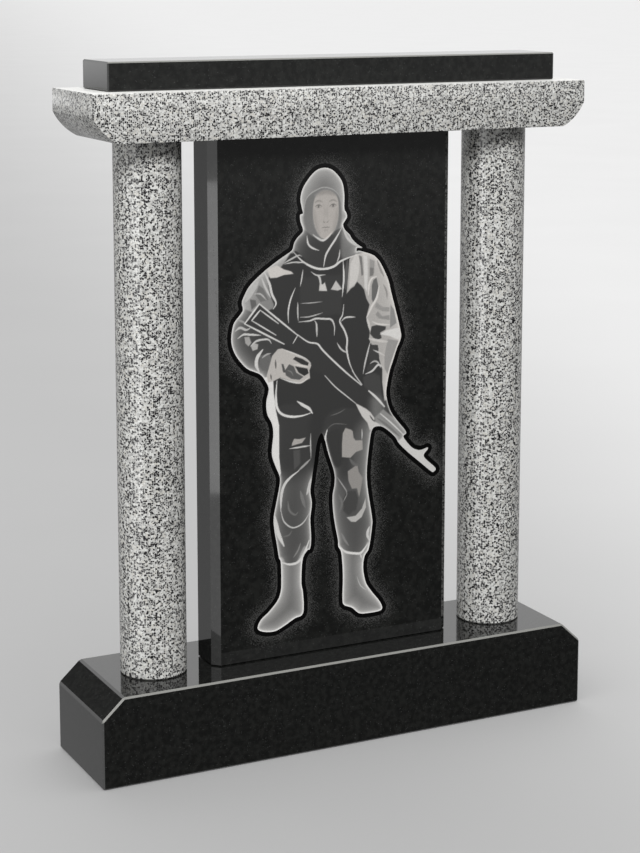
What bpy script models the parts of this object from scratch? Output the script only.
"""War memorial made of six stones that stand on each other by their own weight.

Two round granite columns and an upright slab of black gabbro stand on a long plinth.
A granite lintel with curved ends lies across them, and a low gabbro cap lies on the lintel.
Lengths are in metres, +Z is up, and the front faces -Y. The origin is the middle of the underside.
"""

import math

import bmesh
import bpy

# Plinth: a long block whose two upper ends are cut off at a slope.
PLINTH_LENGTH = 1.230
PLINTH_DEPTH = 0.284
PLINTH_HEIGHT = 0.204
PLINTH_SLOPE_RUN = 0.051
PLINTH_SLOPE_DROP = 0.047

# Columns: plain shafts, one at each side. All the upright stones have the same height.
UPRIGHT_HEIGHT = 1.200
COLUMN_DIAMETER = 0.150
COLUMN_TO_PLINTH_END = 0.102
COLUMN_OFFSET = PLINTH_LENGTH / 2 - COLUMN_TO_PLINTH_END - COLUMN_DIAMETER / 2
COLUMN_SIDES = 96

# Stele: the upright slab between the columns, with its four upright edges cut off at 45 degrees.
STELE_TO_COLUMN = 0.0595
STELE_WIDTH = 2 * (COLUMN_OFFSET - COLUMN_DIAMETER / 2 - STELE_TO_COLUMN)
STELE_THICKNESS = 0.108
STELE_EDGE_CUT = 0.017
STELE_SIDE_SHIFT = -0.009

# Lintel: its ends stay upright at the top and curve in below, down to the underside.
LINTEL_END_SHORT_OF_PLINTH = 0.0075
LINTEL_LENGTH = PLINTH_LENGTH - 2 * LINTEL_END_SHORT_OF_PLINTH
LINTEL_DEPTH = 0.255
LINTEL_HEIGHT = 0.106
LINTEL_END_UPRIGHT = 0.050
LINTEL_END_INSET = 0.056
LINTEL_END_BULGE = 0.0067
LINTEL_END_STEPS = 10

# Cap: a low block in the middle of the lintel.
CAP_TO_LINTEL_END = 0.053
CAP_LENGTH = LINTEL_LENGTH - 2 * CAP_TO_LINTEL_END
CAP_DEPTH = 0.153
CAP_HEIGHT = 0.063

# Edges: the narrow flat that a stonecutter grinds along each sharp edge, wider on the plinth.
ARRIS = 0.003
PLINTH_ARRIS = 0.004
BLOCK_EDGE_ANGLE = math.radians(30)
SLAB_EDGE_ANGLE = math.radians(60)

# Joint: the air left between two stones that rest on each other.
JOINT = 0.0003

# Heights of the undersides.
UPRIGHT_BASE = PLINTH_HEIGHT + JOINT
LINTEL_BASE = UPRIGHT_BASE + UPRIGHT_HEIGHT + JOINT
CAP_BASE = LINTEL_BASE + LINTEL_HEIGHT + JOINT

# Colours as linear red, green and blue.
GABBRO_COLOUR = (0.013, 0.013, 0.012)
GABBRO_ROUGHNESS = 0.08
GRANITE_COLOUR = (0.48, 0.48, 0.46)
GRANITE_ROUGHNESS = 0.18


def clear_scene():
    """Remove whatever the scene holds."""
    for thing in list(bpy.data.objects):
        bpy.data.objects.remove(thing, do_unlink=True)


def stone(name, colour, roughness):
    """Make a plain polished stone."""
    material = bpy.data.materials.new(name)
    material.use_nodes = True
    shader = material.node_tree.nodes["Principled BSDF"]
    shader.inputs["Base Color"].default_value = (*colour, 1.0)
    shader.inputs["Roughness"].default_value = roughness
    shader.inputs["Metallic"].default_value = 0.0
    material.diffuse_color = (*colour, 1.0)
    return material


def gabbro(name):
    """Make the black stone of the plinth, the stele and the cap."""
    return stone(name, GABBRO_COLOUR, GABBRO_ROUGHNESS)


def granite(name):
    """Make the grey stone of the columns and the lintel."""
    return stone(name, GRANITE_COLOUR, GRANITE_ROUGHNESS)


def new_object(name, mesh, material, location):
    """Put a mesh in the scene as one named stone."""
    mesh.materials.append(material)
    piece = bpy.data.objects.new(name, mesh)
    piece.location = location
    bpy.context.scene.collection.objects.link(piece)
    return piece


def extruded(name, corners, sweep):
    """Close a ring of corners into a face and push it along the sweep vector."""
    shape = bmesh.new()
    ring = [shape.verts.new(corner) for corner in corners]
    face = shape.faces.new(ring)
    pushed = bmesh.ops.extrude_face_region(shape, geom=[face])["geom"]
    moved = [part for part in pushed if isinstance(part, bmesh.types.BMVert)]
    bmesh.ops.translate(shape, verts=moved, vec=sweep)
    bmesh.ops.recalc_face_normals(shape, faces=shape.faces)
    mesh = bpy.data.meshes.new(name)
    shape.to_mesh(mesh)
    shape.free()
    return mesh


def from_front(name, outline, depth):
    """Make a block from its front outline of (x, z) corners, centred in depth."""
    corners = [(x, -depth / 2, z) for x, z in outline]
    return extruded(name, corners, (0.0, depth, 0.0))


def mirrored(right_half):
    """Complete an outline whose right half runs from the bottom up to the top."""
    left_half = [(-x, z) for x, z in reversed(right_half)]
    return right_half + left_half


def grind_edges(piece, angle, width=ARRIS):
    """Grind the arris along every edge that is sharper than the angle."""
    edge = piece.modifiers.new("arris", "BEVEL")
    edge.width = width
    edge.segments = 1
    edge.limit_method = "ANGLE"
    edge.angle_limit = angle


def plinth_outline():
    """Front outline of the plinth, with a slope at both upper ends."""
    end = PLINTH_LENGTH / 2
    right_half = [
        (end, 0.0),
        (end, PLINTH_HEIGHT - PLINTH_SLOPE_DROP),
        (end - PLINTH_SLOPE_RUN, PLINTH_HEIGHT),
    ]
    return mirrored(right_half)


def bulging_curve(start, stop, bulge, steps):
    """Points from start to stop on the arc that bulges to the right of the way between them."""
    run = stop[0] - start[0]
    rise = stop[1] - start[1]
    chord = math.hypot(run, rise)
    radius = chord ** 2 / (8 * bulge) + bulge / 2
    right = (rise / chord, -run / chord)
    middle = ((start[0] + stop[0]) / 2, (start[1] + stop[1]) / 2)
    inward = radius - bulge
    centre = (middle[0] - right[0] * inward, middle[1] - right[1] * inward)
    first = math.atan2(start[1] - centre[1], start[0] - centre[0])
    turn = 2 * math.asin(chord / (2 * radius))
    points = []
    for step in range(steps + 1):
        angle = first + turn * step / steps
        points.append((centre[0] + radius * math.cos(angle), centre[1] + radius * math.sin(angle)))
    return points


def lintel_outline():
    """Front outline of the lintel: an upright end above a curve that runs in to the underside."""
    end = LINTEL_LENGTH / 2
    curve_top = (end, LINTEL_HEIGHT - LINTEL_END_UPRIGHT)
    curve_foot = (end - LINTEL_END_INSET, 0.0)
    curve = bulging_curve(curve_foot, curve_top, LINTEL_END_BULGE, LINTEL_END_STEPS)
    return mirrored(curve + [(end, LINTEL_HEIGHT)])


def cap_outline():
    """Front outline of the cap, a plain block."""
    end = CAP_LENGTH / 2
    return mirrored([(end, 0.0), (end, CAP_HEIGHT)])


def stele_plan():
    """Plan of the stele as (x, y) corners: an oblong with all four corners cut off."""
    side = STELE_WIDTH / 2
    face = STELE_THICKNESS / 2
    quarter = [(side, face - STELE_EDGE_CUT), (side - STELE_EDGE_CUT, face)]
    back = quarter + [(-x, y) for x, y in reversed(quarter)]
    return back + [(-x, -y) for x, y in back]


def make_plinth():
    """The long black foot that everything stands on."""
    mesh = from_front("plinth", plinth_outline(), PLINTH_DEPTH)
    piece = new_object("plinth", mesh, gabbro("plinth_gabbro"), (0.0, 0.0, 0.0))
    grind_edges(piece, BLOCK_EDGE_ANGLE, PLINTH_ARRIS)


def make_column(name, x):
    """One round shaft, with its arris turned around both rims."""
    shape = bmesh.new()
    bmesh.ops.create_cone(
        shape,
        cap_ends=True,
        segments=COLUMN_SIDES,
        radius1=COLUMN_DIAMETER / 2,
        radius2=COLUMN_DIAMETER / 2,
        depth=UPRIGHT_HEIGHT,
    )
    bmesh.ops.translate(shape, verts=shape.verts, vec=(0.0, 0.0, UPRIGHT_HEIGHT / 2))
    mesh = bpy.data.meshes.new(name)
    shape.to_mesh(mesh)
    shape.free()
    mesh.shade_smooth()
    mesh.set_sharp_from_angle(angle=BLOCK_EDGE_ANGLE)
    piece = new_object(name, mesh, granite(name + "_granite"), (x, 0.0, UPRIGHT_BASE))
    grind_edges(piece, BLOCK_EDGE_ANGLE)


def make_stele():
    """The upright slab that bears the picture."""
    corners = [(x, y, 0.0) for x, y in stele_plan()]
    mesh = extruded("stele", corners, (0.0, 0.0, UPRIGHT_HEIGHT))
    piece = new_object("stele", mesh, gabbro("stele_gabbro"), (STELE_SIDE_SHIFT, 0.0, UPRIGHT_BASE))
    grind_edges(piece, SLAB_EDGE_ANGLE)


def make_lintel():
    """The grey beam across the columns and the stele."""
    mesh = from_front("lintel", lintel_outline(), LINTEL_DEPTH)
    piece = new_object("lintel", mesh, granite("lintel_granite"), (0.0, 0.0, LINTEL_BASE))
    grind_edges(piece, BLOCK_EDGE_ANGLE)


def make_cap():
    """The low black block on the lintel."""
    mesh = from_front("cap", cap_outline(), CAP_DEPTH)
    piece = new_object("cap", mesh, gabbro("cap_gabbro"), (0.0, 0.0, CAP_BASE))
    grind_edges(piece, BLOCK_EDGE_ANGLE)


def main():
    """Build the stones from the ground up."""
    clear_scene()
    make_plinth()
    make_column("left_column", -COLUMN_OFFSET)
    make_column("right_column", COLUMN_OFFSET)
    make_stele()
    make_lintel()
    make_cap()


main()
